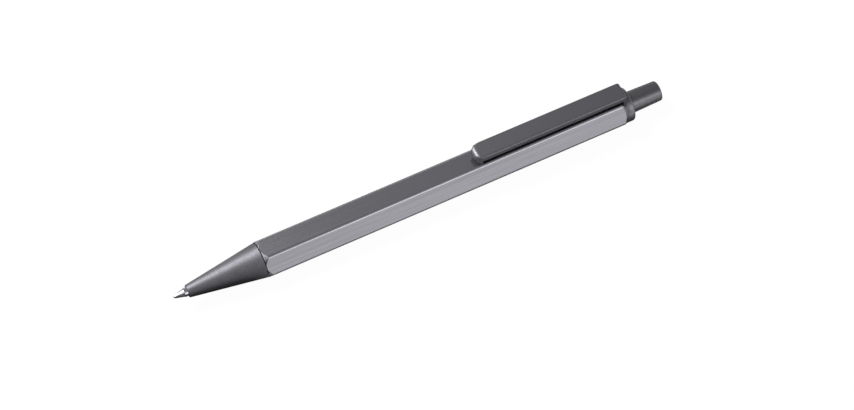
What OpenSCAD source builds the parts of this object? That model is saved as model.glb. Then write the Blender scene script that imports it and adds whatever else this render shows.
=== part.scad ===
// Click ballpoint pen with a six-sided metal barrel, lying on one flat with its clip up.
// Lengths are in millimetres. The pen lies along X, writing tip towards -X.
// Each piece is drawn along its own Z, where z is the distance from the writing tip with the tip out,
// y is up and x is across. The module lie() lays the finished piece down.

/* [Barrel] */
// Wall of the barrel over its threads, in the middle of a flat
barrel_wall = 0.95; // [0.7:0.05:1.5]
// Radius that rounds the six long edges
corner_r = 1; // [0.2:0.05:1.5]
// Length of the barrel
barrel_len = 100.7; // [95:0.1:112]
// Gap between the refill's tube and the bore that it lies in
bore_gap = 0.35; // [0.2:0.05:0.4]
// Angle of the turned chamfer at the front end, from the barrel's axis
chamfer_angle = 25; // [20:1:50]
// Angle of the shorter chamfer at the rear end
rear_chamfer_angle = 38; // [20:1:50]

/* [Threads] */
// Wall of the threaded spigots, under the root of the thread
spigot_wall = 0.4; // [0.3:0.05:0.6]
// Distance from one thread crest to the next
thread_pitch = 0.75; // [0.5:0.05:1]
// Depth of the thread
thread_depth = 0.2; // [0.1:0.05:0.25]
// Radial clearance of a thread or a push fit in its bore
fit_gap = 0.05; // [0.02:0.01:0.08]

/* [Nose] */
// Length of the cone that shows
nose_len = 19.8; // [19:0.1:24]
// How far the cone's base lies inside the barrel's flats
nose_step = 0.075; // [0:0.025:0.3]
// Wall of the cone round its front mouth
nose_lip = 0.43; // [0.3:0.01:0.7]
// Chamfer round the front mouth and round the base
nose_edge = 0.15; // [0.05:0.05:0.25]
// Length of the threaded spigot
nose_thread_len = 8; // [6.5:0.1:12]
// Gap between the nose's shoulder and the barrel
joint_gap = 0.15; // [0.05:0.01:0.3]

/* [Refill] */
// Step from the outside of the spring out to the refill's tube
tube_step = 0.76; // [0.5:0.02:1]
// Wall of the tube
tube_wall = 0.25; // [0.2:0.05:0.4]
// Wall of the neck round the writing point
neck_wall = 0.45; // [0.3:0.05:0.6]
// Length of the neck, which the spring lies round
neck_len = 8; // [7.5:0.1:8.5]
// Length of the shoulder cone between neck and tube
shoulder_len = 1.2; // [0.8:0.1:1.6]
// Diameter of the writing point behind its cone
point_d = 2.3; // [2:0.05:2.6]
// Length of the writing point in front of the neck
point_len = 11; // [10.6:0.1:11.3]
// Length of the point's bright cone
point_cone_len = 2.75; // [2.4:0.05:3.4]
// How far the writing point stands out of the nose
tip_out = 3.7; // [3.2:0.1:3.9]
// Diameter of the writing ball
ball_d = 0.8; // [0.7:0.05:1]
// Length of tube left empty between the ink and the plug
air_len = 8.8; // [2:0.1:60]

/* [Return spring] */
// Thickness of the spring's wire
wire_d = 0.38; // [0.3:0.02:0.42]
// Gap between the refill's neck and the spring round it
spring_gap = 0.21; // [0.15:0.01:0.3]
// Number of turns
spring_turns = 9; // [7:1:10]

/* [Clip] */
// Length of the clip
clip_len = 42.9; // [30:0.1:50]
// Width of the clip
clip_w = 5; // [4:0.1:6]
// Thickness of its sheet
clip_t = 0.9; // [0.6:0.05:1]
// Height of the clip's top above the barrel's flat
clip_rise = 3.17; // [3:0.01:3.8]
// Height of its turned-down edges
clip_edge_h = 1.65; // [1.4:0.05:2.2]
// Radius along its top edges
clip_edge_r = 0.6; // [0.3:0.05:0.75]
// Radius of the front end, where the blade turns down to the barrel
clip_front_r = 1.1; // [1.05:0.05:1.6]
// How far the front end's foot is set back under that bend
clip_tuck = 1.1; // [0:0.05:1.2]
// Radius of the square bend at the back
clip_bend_r = 0.8; // [0.4:0.05:0.9]
// Length of the slanting cut at each front corner
clip_cut_len = 2; // [1:0.05:2.5]
// Width of the slanting cut at each front corner
clip_cut_w = 1.25; // [0.5:0.05:1.5]
// How far the clip's ring lies inside the barrel's flats
clip_ring_step = 0.15; // [0:0.05:0.3]

/* [Rear end] */
// Length of the collar that shows
collar_len = 1.85; // [1.2:0.05:3]
// How far the collar lies inside the barrel's flats
collar_step = 0.15; // [0:0.05:0.3]
// Radius round the collar's rear edge
collar_end_r = 0.45; // [0.1:0.05:0.8]
// Length of the push knob that shows with the tip out
knob_out = 8.9; // [6:0.1:12]
// How far the knob's hidden flange stands out
knob_flange = 0.2; // [0.15:0.05:0.4]
// How far the knob's side draws in towards its end
knob_draft = 0.22; // [0:0.01:0.4]
// Radius round the knob's end
knob_end_r = 0.5; // [0.2:0.05:1]
// Length of the collar's lip, which keeps the knob in
knob_lip_len = 2.72; // [1.6:0.02:4]
// Running clearance of the knob in the collar
knob_gap = 0.1; // [0.05:0.01:0.12]

/* [Click mechanism] */
// How far the tip goes back when it is clicked in
click_travel = 5; // [4.6:0.1:5.2]
// How far the knob goes past the tip-out stop when it is pressed
over_press = 1.2; // [0.8:0.1:1.3]
// Wall of the sleeve round its grooves
sleeve_wall = 0.55; // [0.4:0.05:0.7]
// Height of the sleeve's ridges
ridge_h = 0.6; // [0.4:0.05:0.7]
// Width of the ribs of the rotor and the plunger
rib_w = 1.1; // [0.8:0.1:1.3]
// Length of a rotor rib
rib_len = 1.7; // [1.2:0.1:2]
// Height of the crown teeth
tooth_h = 0.9; // [0.5:0.1:1]

/* [Hidden] */
// Small running gap between pieces that slide or turn past each other
run_gap = 0.1;
// Gap left where the clip, the refill or a spring end rests on its seat
seat_gap = 0.03;
// Overrun of cuts
over = 1;
// Sides of the barrel
barrel_sides = 6;
// Steps round each rounded barrel edge
corner_steps = 8;
// Smoothness of turned pieces
$fn = 72;

// Diameters from the writing point outwards
neck_d = point_d + 2 * neck_wall;
spring_d = neck_d + 2 * (spring_gap + wire_d);
tube_d = spring_d + 2 * tube_step;
bore_d = tube_d + 2 * bore_gap;
tube_bore_d = tube_d + 4 * run_gap;
thread_d = tube_bore_d + 2 * (spigot_wall + thread_depth);
flats = thread_d + 2 * barrel_wall;
nose_base_d = flats - 2 * nose_step;
nose_tip_d = point_d + 2 * (run_gap + nose_lip);
clip_ring_d = flats - 2 * clip_ring_step;
collar_d = flats - 2 * collar_step;
knob_flange_d = thread_d - 2 * (thread_depth + spigot_wall) - knob_gap;
knob_d = knob_flange_d - 2 * knob_flange;
knob_end_d = knob_d - 2 * knob_draft;
sleeve_bore_d = thread_d - 2 * sleeve_wall;
ridge_bore_d = sleeve_bore_d - 2 * ridge_h;
rib_d = sleeve_bore_d - 2 * run_gap;
rotor_d = ridge_bore_d - 3 * run_gap;
groove_w = rib_w + 4 * run_gap;
stem_d = rotor_d - 1.5;
plunger_bore_d = rotor_d - 2.1;

// Stations along the pen
nose_z = tip_out;
shoulder_z = nose_z + nose_len;
barrel_z = shoulder_z + joint_gap;
ring_z = barrel_z + barrel_len;
collar_z = ring_z + clip_t;
knob_z = collar_z + collar_len;
total_len = knob_z + knob_out;

// Barrel
corner_arc_x = (flats / 2 - corner_r) / cos(180 / barrel_sides);
corner_reach = corner_arc_x + corner_r;
chamfer_depth = corner_reach + corner_r - flats / 2;
thread_bore_r = thread_d / 2 + fit_gap;
front_bore_len = nose_thread_len + 6 * run_gap;

// Refill, from the tip back
neck_z = point_len;
shoulder_cone_z = neck_z + neck_len;
tube_z = shoulder_cone_z + shoulder_len;
shoulder_r = spring_d / 2 + 0.25 * wire_d;
point_shank_len = 3;
point_taper_d = 0.9 * point_d;
ball_gap = 0.012;
ball_out = 0.35 * ball_d;
lip_wall = 0.05;
ink_channel_d = 0.6 * ball_d;
point_bore_d = 0.5 * point_d;
plug_len = 4.1;
plug_shank_len = 3;
plug_d = tube_d - 0.3;
plug_vent_d = 1;
plug_slot_w = 1;
plug_slot_h = 0.8;
plug_slots = 4;
push_gap = 0.02;

// Inside of the nose
nose_bore_r = point_d / 2 + run_gap;
neck_bore_r = neck_d / 2 + 1.5 * run_gap;
chamber_r = spring_d / 2 + run_gap;
spring_seat_z = neck_z;
neck_bore_z = neck_z - over_press - over;
tube_bore_z = shoulder_cone_z - over_press - 0.5;
thread_relief = 0.8;

// Click mechanism, from the collar forward to the refill's end
crown_len = 2.05;
plunger_rib_len = 2.2;
knob_flange_len = 1.2;
knob_stop_z = knob_z - knob_lip_len;
knob_flange_z = knob_stop_z - click_travel - knob_flange_len - 2 * run_gap;
spigot_z = knob_flange_z - over_press - 3 * run_gap;
sleeve_end_z = spigot_z - 2 * run_gap;
plunger_rib_z = sleeve_end_z - click_travel - plunger_rib_len - 6 * run_gap;
plunger_z = plunger_rib_z - tooth_h - 3 * run_gap;
crown_z = plunger_z - run_gap;
rib_z = crown_z - crown_len - rib_len;
ridge_z = rib_z + rib_len + run_gap;
sleeve_z = rib_z - over_press - 4.5 * run_gap;
rotor_z = rib_z - click_travel - 3 * run_gap;
refill_len = rotor_z - seat_gap;
tube_end_z = refill_len - plug_len;
stem_len = 9;
stem_hole_spare = 0.6;
plunger_end_z = knob_flange_z - run_gap;
pin_d = plunger_bore_d - 2 * run_gap;
pin_len = 2.5;
teeth = 8;
ribs = 4;
collar_edge = 0.12;
collar_thread_len = 5;

// Clip
clip_z = collar_z - clip_len;
clip_top = flats / 2 + clip_rise;
clip_edge_bottom = clip_top - clip_edge_h;
bend_axis_z = ring_z + clip_t / 2;
bend_axis_y = (clip_edge_bottom + clip_ring_d / 2) / 2 + clip_t / 2;
bend_gap = 0.03;
edge_corner_cut = 0.5;

// Lays a piece down: z becomes X from the tip, y becomes up, and x becomes Y
module lie() {
    translate([-total_len / 2, 0, flats / 2])
        rotate([90, 0, 90])
            children();
}

// Turns an outline of [radius, z] points about the pen's axis
module turned(points) {
    rotate_extrude()
        polygon(points);
}

// Plain round bar or hole of radius r from station a to station b
module bar(r, a, b) {
    translate([0, 0, a])
        cylinder(r = r, h = b - a);
}

// Extrudes a side view, drawn as [z, y], across the pen
module across(w) {
    rotate([0, -90, 0])
        linear_extrude(height = w, center = true)
            children();
}

// Points on an arc about [cx, cy], from angle a to angle b
function arc(cx, cy, r, a, b, n) = [
    for (i = [0 : n])
        let (t = a + (b - a) * i / n)
            [cx + r * cos(t), cy + r * sin(t)]
];

// Thread crests as close rings: an outline from station a to station b at radius r
function thread_points(r, a, b) =
    let (n = floor((b - a) / thread_pitch), start = b - n * thread_pitch)
        concat([[r - thread_depth, a], [r - thread_depth, start]], [
            for (i = [0 : n - 1], p = [[0.25, 1], [0.5, 1], [0.75, 0], [1, 0]])
                [r - thread_depth * (1 - p[1]), start + (i + p[0]) * thread_pitch]
        ]);

// The barrel's six-sided section, with its edges rounded
module barrel_section() {
    turn = 360 / barrel_sides;
    polygon([
        for (k = [0 : barrel_sides - 1], i = [0 : corner_steps])
            let (t = turn * (k - 0.5 + i / corner_steps))
                [
                    corner_arc_x * cos(turn * k) + corner_r * cos(t),
                    corner_arc_x * sin(turn * k) + corner_r * sin(t)
                ]
    ]);
}

// Six-sided tube with turned ends, bored for the refill and threaded at both ends
module barrel() {
    reach = corner_reach + corner_r;
    color("darkgray")
        lie()
            difference() {
                intersection() {
                    translate([0, 0, barrel_z])
                        linear_extrude(height = barrel_len)
                            barrel_section();
                    turned([
                        [0, barrel_z], [flats / 2, barrel_z],
                        [reach, barrel_z + chamfer_depth / tan(chamfer_angle)],
                        [reach, ring_z - chamfer_depth / tan(rear_chamfer_angle)],
                        [flats / 2, ring_z], [0, ring_z]
                    ]);
                }
                bar(bore_d / 2, barrel_z - over, ring_z + over);
                bar(thread_bore_r, barrel_z - over, barrel_z + front_bore_len);
                bar(thread_bore_r, sleeve_z, ring_z + over);
            }
}

// Turned cone with a threaded spigot, bored in steps for the point, the spring and the tube
module nose_cone() {
    base_r = nose_base_d / 2;
    tip_r = nose_tip_d / 2;
    spigot_end = shoulder_z + nose_thread_len;
    relief_z = shoulder_z + thread_relief;
    color("dimgray")
        lie()
            difference() {
                turned(concat(
                    [
                        [0, nose_z], [tip_r - nose_edge, nose_z], [tip_r, nose_z + nose_edge],
                        [base_r, shoulder_z - nose_edge], [base_r - nose_edge, shoulder_z]
                    ],
                    [[thread_d / 2 - thread_depth, shoulder_z]],
                    thread_points(thread_d / 2, relief_z, spigot_end),
                    [[0, spigot_end]]
                ));
                bar(nose_bore_r, nose_z - over, neck_z);
                bar(neck_bore_r, neck_bore_z, neck_z + over);
                bar(chamber_r, spring_seat_z, tube_bore_z + over);
                bar(tube_bore_d / 2, tube_bore_z, spigot_end + over);
            }
}

// Outline of the clip's side, solid down to its turned-down edges
module clip_side() {
    front_y = clip_top - clip_front_r;
    lip_y = flats / 2 + seat_gap;
    foot_z = clip_z + clip_tuck;
    cut_z = max(clip_z + clip_cut_len, foot_z + clip_t);
    polygon(concat(
        arc(clip_z + clip_front_r, front_y, clip_front_r, 180, 90, 12),
        arc(collar_z - clip_bend_r, clip_top - clip_bend_r, clip_bend_r, 90, 0, 8),
        [
            [collar_z, bend_axis_y], [ring_z, bend_axis_y], [ring_z, clip_edge_bottom],
            [cut_z + edge_corner_cut, clip_edge_bottom], [cut_z, clip_edge_bottom + edge_corner_cut],
            [foot_z + clip_t, clip_edge_bottom + edge_corner_cut], [foot_z + clip_t, lip_y], [foot_z, lip_y]
        ]
    ));
}

// Outline of the clip's hollow seen from the side
module clip_hollow_side() {
    front_y = clip_top - clip_front_r;
    polygon(concat(
        arc(clip_z + clip_front_r, front_y, clip_front_r - clip_t, 180, 90, 12),
        [[ring_z, clip_top - clip_t], [ring_z, flats / 2], [clip_z + clip_tuck + clip_t, flats / 2]]
    ));
}

// Cross-section of the clip from outside, with its top edges rounded
module clip_section() {
    side = clip_w / 2;
    arc_y = clip_top - clip_edge_r;
    polygon(concat(
        arc(side - clip_edge_r, arc_y, clip_edge_r, 0, 90, 8),
        arc(clip_edge_r - side, arc_y, clip_edge_r, 90, 180, 8),
        [[-side, flats / 2], [side, flats / 2]]
    ));
}

// Plan of the clip, drawn as [x, z], with both front corners cut
module clip_plan() {
    side = clip_w / 2;
    polygon([
        [clip_cut_w - side, clip_z], [side - clip_cut_w, clip_z], [side, clip_z + clip_cut_len],
        [side, collar_z], [-side, collar_z], [-side, clip_z + clip_cut_len]
    ]);
}

// Blade of the clip: pressed sheet with turned-down edges, its front end turned down to the barrel
module clip_blade() {
    color("dimgray")
        lie()
            difference() {
                intersection() {
                    across(clip_w)
                        clip_side();
                    translate([0, 0, clip_z])
                        linear_extrude(height = clip_len)
                            clip_section();
                    translate([0, clip_top, 0])
                        rotate([90, 0, 0])
                            linear_extrude(height = clip_top)
                                clip_plan();
                }
                across(clip_w - 2 * clip_t)
                    clip_hollow_side();
                translate([0, bend_axis_y, bend_axis_z])
                    rotate([0, 90, 0])
                        cylinder(r = clip_t / 2 + bend_gap, h = clip_w + over, center = true);
            }
}

// Ring of the clip with the short leg that carries the blade
module clip_ring() {
    color("dimgray")
        lie()
            difference() {
                union() {
                    bar(clip_ring_d / 2, ring_z, collar_z);
                    translate([-clip_w / 2, 0, ring_z])
                        cube([clip_w, bend_axis_y, clip_t]);
                    translate([0, bend_axis_y, bend_axis_z])
                        rotate([0, 90, 0])
                            cylinder(r = clip_t / 2, h = clip_w, center = true);
                }
                bar(thread_bore_r, ring_z - over, collar_z + over);
            }
}

// Turned collar that clamps the clip's ring, with a threaded spigot and the bore for the knob
module rear_collar() {
    r = collar_d / 2;
    knob_r = knob_d / 2 + knob_gap;
    flange_r = knob_flange_d / 2 + knob_gap / 2;
    color("dimgray")
        lie()
            difference() {
                turned(concat(
                    [[0, spigot_z]],
                    [[thread_d / 2, spigot_z], [thread_d / 2, ring_z - collar_thread_len]],
                    thread_points(thread_d / 2, ring_z - collar_thread_len, collar_z),
                    [[r - collar_edge, collar_z], [r, collar_z + collar_edge]],
                    arc(r - collar_end_r, knob_z - collar_end_r, collar_end_r, 0, 90, 8),
                    [[0, knob_z]]
                ));
                bar(flange_r, spigot_z - over, knob_stop_z);
                bar(knob_r, knob_stop_z - over, knob_z + over);
            }
}

// Push knob: a slightly tapered turned cap whose hidden flange keeps it in the collar
module push_knob() {
    end_r = knob_end_d / 2;
    flange_end = knob_flange_z + knob_flange_len;
    color("dimgray")
        lie()
            difference() {
                turned(concat(
                    [
                        [0, knob_flange_z], [knob_flange_d / 2, knob_flange_z],
                        [knob_flange_d / 2, flange_end], [knob_d / 2, flange_end], [knob_d / 2, knob_z]
                    ],
                    arc(end_r - knob_end_r, total_len - knob_end_r, knob_end_r, 0, 90, 8),
                    [[0, total_len]]
                ));
                bar(stem_d / 2 + push_gap, knob_flange_z - over, plunger_end_z + stem_len + stem_hole_spare);
            }
}

// V-shaped gaps, deepest at z, that leave a ring of teeth: way is 1 for teeth that point back
module tooth_gaps(z, way) {
    half = PI * rotor_d / teeth / 2;
    mouth_z = z + way * (tooth_h + run_gap);
    for (i = [0 : teeth - 1])
        rotate([0, 0, 360 * i / teeth])
            rotate([0, 90, 0])
                linear_extrude(height = rotor_d)
                    polygon([[-z, 0], [-mouth_z, -half], [-mouth_z, half]]);
}

// Straight ribs on a hub, from station a to station b
module hub_ribs(a, b) {
    intersection() {
        for (i = [0 : ribs - 1])
            rotate([0, 0, 360 * i / ribs])
                translate([0, -rib_w / 2, a])
                    cube([rib_d, rib_w, b - a]);
        bar(rib_d / 2, a, b);
    }
}

// Push rod under the knob: a tube with a crown of teeth, guide ribs and a stem
module plunger() {
    color("ivory")
        lie()
            difference() {
                union() {
                    bar(rotor_d / 2, plunger_z, plunger_end_z);
                    bar(stem_d / 2, plunger_z, plunger_end_z + stem_len);
                    hub_ribs(plunger_rib_z, plunger_rib_z + plunger_rib_len);
                }
                bar(plunger_bore_d / 2, plunger_z - over, plunger_rib_z + plunger_rib_len);
                tooth_gaps(plunger_z + tooth_h, -1);
            }
}

// Indexing cam: a hub with four ribs, a crown of teeth and a pin that centres it in the plunger
module rotor() {
    color("ivory")
        lie()
            union() {
                difference() {
                    union() {
                        bar(rotor_d / 2, rotor_z, crown_z);
                        hub_ribs(rib_z, rib_z + rib_len);
                    }
                    rotate([0, 0, 180 / teeth])
                        tooth_gaps(crown_z - tooth_h, 1);
                }
                bar(pin_d / 2, rotor_z, crown_z + pin_len);
            }
}

// Sleeve fixed in the barrel: grooves let the ribs pass, and the ridges between them hold the rotor
module cam_sleeve() {
    color("white")
        lie()
            difference() {
                bar(thread_d / 2, sleeve_z, sleeve_end_z);
                bar(ridge_bore_d / 2, sleeve_z - over, sleeve_end_z + over);
                bar(sleeve_bore_d / 2, sleeve_z - over, ridge_z);
                intersection() {
                    for (i = [0 : ribs - 1])
                        rotate([0, 0, 360 * i / ribs])
                            translate([0, -groove_w / 2, sleeve_z])
                                cube([thread_d, groove_w, sleeve_end_z + over - sleeve_z]);
                    bar(sleeve_bore_d / 2, sleeve_z - over, sleeve_end_z + over);
                }
            }
}

// Height of the wire's middle after t turns, with a closed turn at each end
function wire_z(t) =
    let (
        low = spring_seat_z + seat_gap + wire_d / 2,
        high = shoulder_cone_z - seat_gap - wire_d / 2,
        closed = 1.1 * wire_d,
        open = (high - low - 2 * closed) / (spring_turns - 2)
    )
        t < 1 ? low + closed * t :
        t > spring_turns - 1 ? high - closed * (spring_turns - t) :
        low + closed + open * (t - 1);

// Coiled return spring round the refill's neck, one unbroken wire
module return_spring() {
    steps = 12;
    sides = 6;
    count = spring_turns * steps;
    mid_r = (spring_d - wire_d) / 2;
    points = [
        for (i = [0 : count], j = [0 : sides - 1])
            let (a = 360 * i / steps, b = 360 * j / sides, r = mid_r + wire_d / 2 * cos(b))
                [r * cos(a), r * sin(a), wire_z(i / steps) + wire_d / 2 * sin(b)]
    ];
    walls = [
        for (i = [0 : count - 1], j = [0 : sides - 1])
            let (a = i * sides + j, b = i * sides + (j + 1) % sides)
                each [[a, b, b + sides], [a, b + sides, a + sides]]
    ];
    first = [for (j = [1 : sides - 2]) [0, j + 1, j]];
    last = [for (j = [1 : sides - 2]) [count * sides, count * sides + j, count * sides + j + 1]];
    color("silver")
        lie()
            polyhedron(points = points, faces = concat(walls, first, last), convexity = 10);
}

// Metal tube of the refill, drawn in to a neck at its front
module refill_tube() {
    inner_r = tube_d / 2 - tube_wall;
    neck_r = point_d / 2 + push_gap;
    color("silver")
        lie()
            turned([
                [neck_r, neck_z], [neck_d / 2, neck_z], [neck_d / 2, shoulder_cone_z],
                [shoulder_r, shoulder_cone_z], [tube_d / 2, tube_z], [tube_d / 2, tube_end_z],
                [inner_r, tube_end_z], [inner_r, tube_z + tube_wall],
                [neck_r, shoulder_cone_z + tube_wall]
            ]);
}

// Crowned plastic plug in the back of the refill
module refill_plug() {
    color("black")
        lie()
            difference() {
                union() {
                    bar(plug_d / 2, tube_end_z, refill_len);
                    bar(tube_d / 2 - tube_wall - push_gap, tube_end_z - plug_shank_len, refill_len);
                }
                bar(plug_vent_d / 2, tube_end_z - plug_shank_len - over, refill_len + over);
                for (i = [0 : plug_slots - 1])
                    rotate([0, 0, 180 * i / plug_slots])
                        translate([-tube_d / 2, -plug_slot_w / 2, refill_len - plug_slot_h])
                            cube([tube_d, plug_slot_w, plug_slot_h + over]);
            }
}

// Turned writing point with the socket that holds the ball
module point_housing() {
    lip_r = ball_d / 2 + lip_wall;
    color("silver")
        lie()
            difference() {
                turned([
                    [0, ball_out], [lip_r, ball_out], [point_taper_d / 2, point_cone_len],
                    [point_d / 2, point_cone_len + point_d / 2 - point_taper_d / 2],
                    [point_d / 2, neck_z + point_shank_len], [0, neck_z + point_shank_len]
                ]);
                translate([0, 0, ball_d / 2])
                    sphere(r = ball_d / 2 + ball_gap);
                bar(ink_channel_d / 2, ball_d / 2, neck_z);
                bar(point_bore_d / 2, point_cone_len, neck_z + point_shank_len + over);
            }
}

// Writing ball
module writing_ball() {
    color("lightgray")
        lie()
            translate([0, 0, ball_d / 2])
                sphere(r = ball_d / 2);
}

// Ink in the neck and the tube
module ink_column() {
    ink_r = tube_d / 2 - tube_wall - push_gap;
    throat_r = point_d / 2;
    start_z = neck_z + point_shank_len + push_gap;
    end_z = tube_end_z - plug_shank_len - air_len;
    color("midnightblue")
        lie()
            turned([
                [0, start_z], [throat_r, start_z], [throat_r, shoulder_cone_z + tube_wall + push_gap],
                [ink_r, tube_z + tube_wall + push_gap], [ink_r, end_z], [0, end_z]
            ]);
}

barrel();
nose_cone();
clip_blade();
clip_ring();
rear_collar();
push_knob();
plunger();
rotor();
cam_sleeve();
return_spring();
refill_tube();
refill_plug();
point_housing();
writing_ball();
ink_column();
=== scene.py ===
# %% [markdown]
# # A click ballpoint pen, dressed for a close look
# The construction model gives every piece its place and its joints. This lesson loads it as a fixed
# frame and models the pieces that the eye rests on again, with finer turning, rounder edges and
# real finishes. The pen lies along X with its tip towards -X, so nearly every length below is a
# station: the distance in millimetres from the writing tip.

# %% Load the frame
import math

import bmesh
import bpy
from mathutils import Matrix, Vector


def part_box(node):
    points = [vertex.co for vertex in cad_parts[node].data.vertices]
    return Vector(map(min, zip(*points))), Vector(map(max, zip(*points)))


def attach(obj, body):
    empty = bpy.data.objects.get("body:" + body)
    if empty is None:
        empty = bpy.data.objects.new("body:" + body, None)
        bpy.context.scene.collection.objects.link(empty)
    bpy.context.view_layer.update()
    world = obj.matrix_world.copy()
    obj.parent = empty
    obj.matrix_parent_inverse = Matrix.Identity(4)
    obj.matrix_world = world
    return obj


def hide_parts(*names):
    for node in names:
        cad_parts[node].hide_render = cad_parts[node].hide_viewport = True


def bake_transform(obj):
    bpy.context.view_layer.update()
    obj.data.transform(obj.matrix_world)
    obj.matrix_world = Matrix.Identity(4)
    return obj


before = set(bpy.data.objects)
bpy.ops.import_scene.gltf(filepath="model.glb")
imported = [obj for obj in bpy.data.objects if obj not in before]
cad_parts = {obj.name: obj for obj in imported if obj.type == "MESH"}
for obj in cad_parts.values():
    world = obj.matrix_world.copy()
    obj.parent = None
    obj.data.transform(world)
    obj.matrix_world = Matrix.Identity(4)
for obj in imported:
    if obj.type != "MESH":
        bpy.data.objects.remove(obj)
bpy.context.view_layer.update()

MM = 0.001
TIP_X = -68 * MM
AXIS_Z = sum(corner.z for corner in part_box("barrel")) / 2


def station(z):
    """X of a place that lies z millimetres behind the writing tip."""
    return TIP_X + z * MM


for name in sorted(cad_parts):
    low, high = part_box(name)
    print(f"{name}: from {(low.x - TIP_X) / MM:.2f} to {(high.x - TIP_X) / MM:.2f} mm")

# %% [markdown]
# ## Camera
# The photograph was taken from the front left and well above, from about 75 cm away, with a long
# lens. The lens follows from the pen's length in the picture. The picture's middle falls a few
# pixels beside the pen's, so the camera is moved aside by that much and keeps its direction.

# %% Camera
PICTURE_W, PICTURE_H = 854, 410
CAMERA_AZIMUTH, CAMERA_ELEVATION = math.radians(-26.56), math.radians(58.97)
CAMERA_DISTANCE = 0.75
SENSOR_WIDTH = 36
LENS_PIXELS = 2984.3
MIDDLE_X, MIDDLE_Y = 420.87, 191.65
NEAREST, FURTHEST = 0.01, 20

back = Vector((
    math.sin(CAMERA_AZIMUTH) * math.cos(CAMERA_ELEVATION),
    -math.cos(CAMERA_AZIMUTH) * math.cos(CAMERA_ELEVATION),
    math.sin(CAMERA_ELEVATION),
))
right = Vector((0, 0, 1)).cross(back).normalized()
up = back.cross(right)
aside = right * ((PICTURE_W / 2 - MIDDLE_X) / LENS_PIXELS * CAMERA_DISTANCE)
above = up * ((MIDDLE_Y - PICTURE_H / 2) / LENS_PIXELS * CAMERA_DISTANCE)

camera_data = bpy.data.cameras.new("camera")
camera_data.sensor_width = SENSOR_WIDTH
camera_data.lens = LENS_PIXELS / PICTURE_W * SENSOR_WIDTH
camera_data.clip_start = NEAREST
camera_data.clip_end = FURTHEST
camera = bpy.data.objects.new("camera", camera_data)
bpy.context.scene.collection.objects.link(camera)
camera.location = Vector((0, 0, AXIS_Z)) + back * CAMERA_DISTANCE + aside + above
camera.rotation_euler = back.to_track_quat("Z", "Y").to_euler()
bpy.context.scene.camera = camera
print(f"lens {camera_data.lens:.1f} mm at {camera.location}")

# %% [markdown]
# ## Wiring nodes
# The room, the floor and every finish are node trees. Typed out link by link they would fill pages
# and hide what they do, so the three nodes that come back all the time get a function each. Every
# argument is either a socket, which is linked, or a plain number, which is set.

# %% Node helpers
def blank_tree(owner):
    """Gives a world or a material an empty node tree."""
    owner.use_nodes = True
    owner.node_tree.nodes.clear()
    return owner.node_tree


def plug(tree, socket, value):
    """Links a socket to another one, or sets it to a plain value."""
    if isinstance(value, bpy.types.NodeSocket):
        tree.links.new(value, socket)
    else:
        socket.default_value = value


def math_node(tree, operation, a, b=None):
    """Adds a Math node and returns its result."""
    node = tree.nodes.new("ShaderNodeMath")
    node.operation = operation
    plug(tree, node.inputs[0], a)
    if b is not None:
        plug(tree, node.inputs[1], b)
    return node.outputs[0]


def map_range(tree, value, low, high, to_low=0, to_high=1, kind="LINEAR"):
    """Maps the span from low to high onto the span from to_low to to_high."""
    node = tree.nodes.new("ShaderNodeMapRange")
    node.interpolation_type = kind
    labels = ("Value", "From Min", "From Max", "To Min", "To Max")
    for label, given in zip(labels, (value, low, high, to_low, to_high)):
        plug(tree, node.inputs[label], given)
    return node.outputs["Result"]


def mix_values(tree, factor, a, b):
    """Mixes two numbers."""
    node = tree.nodes.new("ShaderNodeMix")
    for label, given in zip(("Factor", "A", "B"), (factor, a, b)):
        plug(tree, node.inputs[label], given)
    return node.outputs["Result"]


# %% [markdown]
# ## Studio
# Brushed and blasted metal shows little colour of its own: what the eye reads as its shape is the
# room that it mirrors. So the room is built first. It is as white as the background, also for
# reflections, but a photographer hangs dark cloths in it: overhead, behind, and in one corner. One
# brighter window stands at the side. A metal pen in an all-white room would lose its edges. Real
# walls could stand there too, but a world needs no geometry, and its soft patches can't be hit by
# the pen's own shadow.

# %% World: the room that metal mirrors
ROOM_WHITE = 1
ROOM_PATCHES = [
    # name, direction of its middle, degrees from there where it starts and ends to fade, brightness
    ("ceiling", (0.23, 0.18, 0.95), 30, 60, 0.30),
    ("dark_corner", (-0.45, -0.87, 0.18), 20, 36, 0.10),
    ("side_window", (-0.56, -0.02, 0.82), 10, 20, 1.7),
    ("back_wall", (0.23, 0.97, 0.05), 20, 50, 0.36),
]

world = bpy.data.worlds.new("studio")
bpy.context.scene.world = world
tree = blank_tree(world)
direction = tree.nodes.new("ShaderNodeTexCoord").outputs["Generated"]
room = ROOM_WHITE
for name, middle, inner, outer, value in ROOM_PATCHES:
    dot = tree.nodes.new("ShaderNodeVectorMath")
    dot.operation = "DOT_PRODUCT"
    dot.label = name
    dot.inputs[1].default_value = Vector(middle).normalized()
    tree.links.new(direction, dot.inputs[0])
    edges = [math.cos(math.radians(degrees)) for degrees in (outer, inner)]
    inside = map_range(tree, dot.outputs["Value"], *edges, kind="SMOOTHSTEP")
    room = mix_values(tree, inside, room, value)
print("room with", len(ROOM_PATCHES), "patches")

# %% [markdown]
# The camera must see plain white, and matt surfaces need far less light than a white room gives. So
# the Light Path node tells three kinds of ray apart: reflections see the room, the camera and
# anything seen through glass get white, and what is left lights the pen softly.

# %% World: what each kind of ray sees
DIFFUSE_LEVEL = 0.35


def seen_directly(tree, rays):
    """True for rays from the camera, straight or through something clear."""
    return math_node(
        tree, "MAXIMUM", rays.outputs["Is Camera Ray"], rays.outputs["Is Transmission Ray"])


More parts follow.
